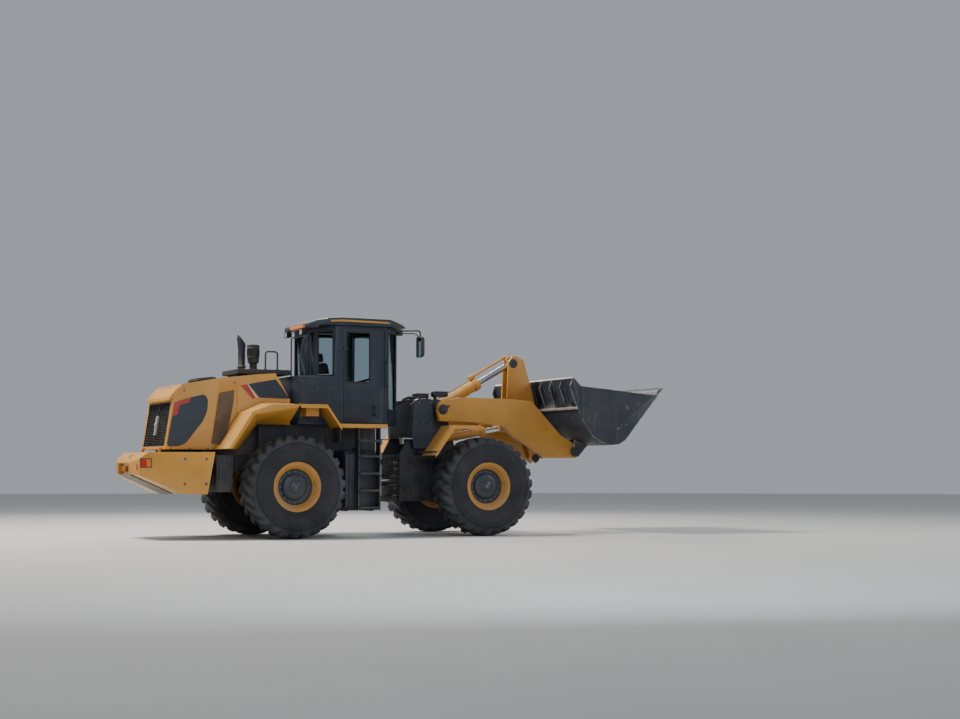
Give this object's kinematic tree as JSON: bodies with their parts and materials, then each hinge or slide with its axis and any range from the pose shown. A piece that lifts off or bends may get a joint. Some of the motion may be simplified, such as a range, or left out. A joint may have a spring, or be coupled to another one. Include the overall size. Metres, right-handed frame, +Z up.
{
  "type": "articulated wheel loader",
  "caption": "Wheel loader with a hinged frame, closed cab, tilting hood and a Z-bar lift arm carrying a wide bucket.",
  "frame": {"origin": "middle of the length and width, at ground level", "axes": "+X forward toward the bucket, +Y to the machine's left, +Z up"},
  "size_m": [8.9436, 2.976, 3.53],
  "materials": {
    "yellow": "semi-gloss, dusty",
    "charcoal": "satin, dusty",
    "dark_frame": "satin, dusty",
    "bucket_steel": "worn, scraped edges",
    "tyre_rubber": "matt, dusty",
    "rod_chrome": "polished",
    "cab_glass": "clear, light tint",
    "black_plastic": "fine grain",
    "seat_cloth": "woven",
    "grille_metal": "satin, dusty",
    "vent_metal": "dusty mesh",
    "cast_block": "cast"
  },
  "bodies": {
    "rear_unit": {"rear_axle": "dark_frame", "rear_frame": "dark_frame", "counterweight": "yellow", "tow_pin": "rod_chrome", "engine": "cast_block", "cooler": "cast_block", "engine_deck": "charcoal", "exhaust_stack": "charcoal", "air_precleaner": "black_plastic", "rear_fenders": "yellow", "platforms": "dark_frame", "side_tanks": "dark_frame", "battery_boxes": "dark_frame", "cab_frame": "charcoal", "cab_glass": "cab_glass", "cab_roof": "charcoal", "seat": "seat_cloth", "seat_base": "black_plastic", "console": "black_plastic", "handrails": "charcoal", "mirrors": "black_plastic", "cab_lamps": "black_plastic"},
    "hood": {"hood": "yellow", "hood_grille": "grille_metal", "hood_vents": "vent_metal", "hood_panels": "charcoal"},
    "door_right": {"door_right": "charcoal", "door_glass_right": "cab_glass"},
    "door_left": {"door_left": "charcoal", "door_glass_left": "cab_glass"},
    "front_unit": {"front_frame": "dark_frame", "pivot_pins": "dark_frame", "front_axle": "dark_frame", "front_fenders": "yellow", "work_lamps": "black_plastic"},
    "boom": {"boom": "yellow"},
    "bell_crank": {"bell_crank": "yellow"},
    "bucket_link": {"bucket_link": "yellow"},
    "bucket": {"bucket": "bucket_steel"},
    "lift_barrels": {"lift_barrels": "yellow"},
    "lift_rods": {"lift_rods": "rod_chrome"},
    "tilt_barrel": {"tilt_barrel": "yellow"},
    "tilt_rod": {"tilt_rod": "rod_chrome"},
    "wheel_rear_left": {"rim_rear_left": "yellow", "tyre_rear_left": "tyre_rubber"},
    "wheel_rear_right": {"rim_rear_right": "yellow", "tyre_rear_right": "tyre_rubber"},
    "wheel_front_left": {"rim_front_left": "yellow", "tyre_front_left": "tyre_rubber"},
    "wheel_front_right": {"rim_front_right": "yellow", "tyre_front_right": "tyre_rubber"},
    "steer_barrel_left": {"steer_barrel_left": "dark_frame"},
    "steer_rod_left": {"steer_rod_left": "rod_chrome"},
    "steer_barrel_right": {"steer_barrel_right": "dark_frame"},
    "steer_rod_right": {"steer_rod_right": "rod_chrome"}
  },
  "joints": [
    {"name": "hood_lid", "type": "hinge", "parent": "rear_unit", "child": "hood", "pos_m": [-4.03883, 0, 1.402], "axis": [0, -1, 0], "range_deg": [0, 50]},
    {"name": "cab_door_right", "type": "hinge", "parent": "rear_unit", "child": "door_right", "pos_m": [-1.10483, -0.798, 2.6], "axis": [0, 0, -1], "range_deg": [0, 85]},
    {"name": "cab_door_left", "type": "hinge", "parent": "rear_unit", "child": "door_left", "pos_m": [-1.10483, 0.798, 2.6], "axis": [0, 0, 1], "range_deg": [0, 85]},
    {"name": "frame_hinge", "type": "hinge", "parent": "rear_unit", "child": "front_unit", "pos_m": [-0.41683, 0, 0.9], "axis": [0, 0, 1], "range_deg": [-38, 38]},
    {"name": "boom_lift", "type": "hinge", "parent": "front_unit", "child": "boom", "pos_m": [0.71317, 0, 2.08], "axis": [0, -1, 0], "range_deg": [-26, 65]},
    {"name": "bucket_tilt", "type": "hinge", "parent": "boom", "child": "bucket", "pos_m": [3.20317, 0, 1.4], "axis": [0, 1, 0], "range_deg": [0, 150]},
    {"name": "crank_swing", "type": "hinge", "parent": "boom", "child": "bell_crank", "pos_m": [2.47617, 0, 2.09], "axis": [0, -1, 0], "range_deg": [-1, 37]},
    {"name": "link_swing", "type": "hinge", "parent": "bucket", "child": "bucket_link", "pos_m": [2.93317, 0, 1.68], "axis": [0, -1, 0], "range_deg": [-1, 76]},
    {"name": "lift_barrel_swing", "type": "hinge", "parent": "front_unit", "child": "lift_barrels", "pos_m": [0.68317, 0, 1.581], "axis": [0, -1, 0], "range_deg": [-22.71, 55.27]},
    {"name": "lift_rod_slide", "type": "slide", "parent": "lift_barrels", "child": "lift_rods", "axis": [0.9852, 0, 0.1712], "range_m": [-0.1961, 0.4751]},
    {"name": "tilt_barrel_swing", "type": "hinge", "parent": "front_unit", "child": "tilt_barrel", "pos_m": [0.74317, 0, 2.05], "axis": [0, -1, 0], "range_deg": [-27, 66]},
    {"name": "tilt_rod_slide", "type": "slide", "parent": "tilt_barrel", "child": "tilt_rod", "axis": [0.8707, 0, 0.4919], "range_m": [-0.5364, 0.01]},
    {"name": "wheel_spin_rear_left", "type": "hinge", "parent": "rear_unit", "child": "wheel_rear_left", "pos_m": [-2.06683, 1.075, 0.808], "axis": [0, 1, 0], "continuous": true},
    {"name": "wheel_spin_rear_right", "type": "hinge", "parent": "rear_unit", "child": "wheel_rear_right", "pos_m": [-2.06683, -1.075, 0.808], "axis": [0, 1, 0], "continuous": true},
    {"name": "wheel_spin_front_left", "type": "hinge", "parent": "front_unit", "child": "wheel_front_left", "pos_m": [1.23317, 1.075, 0.808], "axis": [0, 1, 0], "continuous": true},
    {"name": "wheel_spin_front_right", "type": "hinge", "parent": "front_unit", "child": "wheel_front_right", "pos_m": [1.23317, -1.075, 0.808], "axis": [0, 1, 0], "continuous": true},
    {"name": "steer_swing_left", "type": "hinge", "parent": "rear_unit", "child": "steer_barrel_left", "pos_m": [-1.01683, 0.45, 0.905], "axis": [0, 0, 1], "range_deg": [-12.97, 12.97]},
    {"name": "steer_slide_left", "type": "slide", "parent": "steer_barrel_left", "child": "steer_rod_left", "axis": [0.9931, -0.1175, 0], "range_m": [-0.2587, 0.2587]},
    {"name": "steer_swing_right", "type": "hinge", "parent": "rear_unit", "child": "steer_barrel_right", "pos_m": [-1.01683, -0.45, 0.905], "axis": [0, 0, 1], "range_deg": [-12.97, 12.97]},
    {"name": "steer_slide_right", "type": "slide", "parent": "steer_barrel_right", "child": "steer_rod_right", "axis": [0.9931, 0.1175, 0], "range_m": [-0.2587, 0.2587]}
  ],
  "couplings": [
    {"joint": "crank_swing", "follows": "bucket_tilt", "ratio": 0.24},
    {"joint": "link_swing", "follows": "bucket_tilt", "ratio": 0.5},
    {"joint": "lift_barrel_swing", "follows": "boom_lift", "ratio": 0.835},
    {"joint": "lift_rod_slide", "follows": "boom_lift", "m_per_rad": 0.41},
    {"joint": "tilt_barrel_swing", "follows": "boom_lift", "ratio": 1},
    {"joint": "tilt_rod_slide", "follows": "bucket_tilt", "m_per_rad": -0.20105},
    {"joint": "steer_swing_left", "follows": "frame_hinge", "ratio": 0.315},
    {"joint": "steer_slide_left", "follows": "frame_hinge", "m_per_rad": -0.375},
    {"joint": "steer_swing_right", "follows": "frame_hinge", "ratio": 0.315},
    {"joint": "steer_slide_right", "follows": "frame_hinge", "m_per_rad": 0.375}
  ]
}
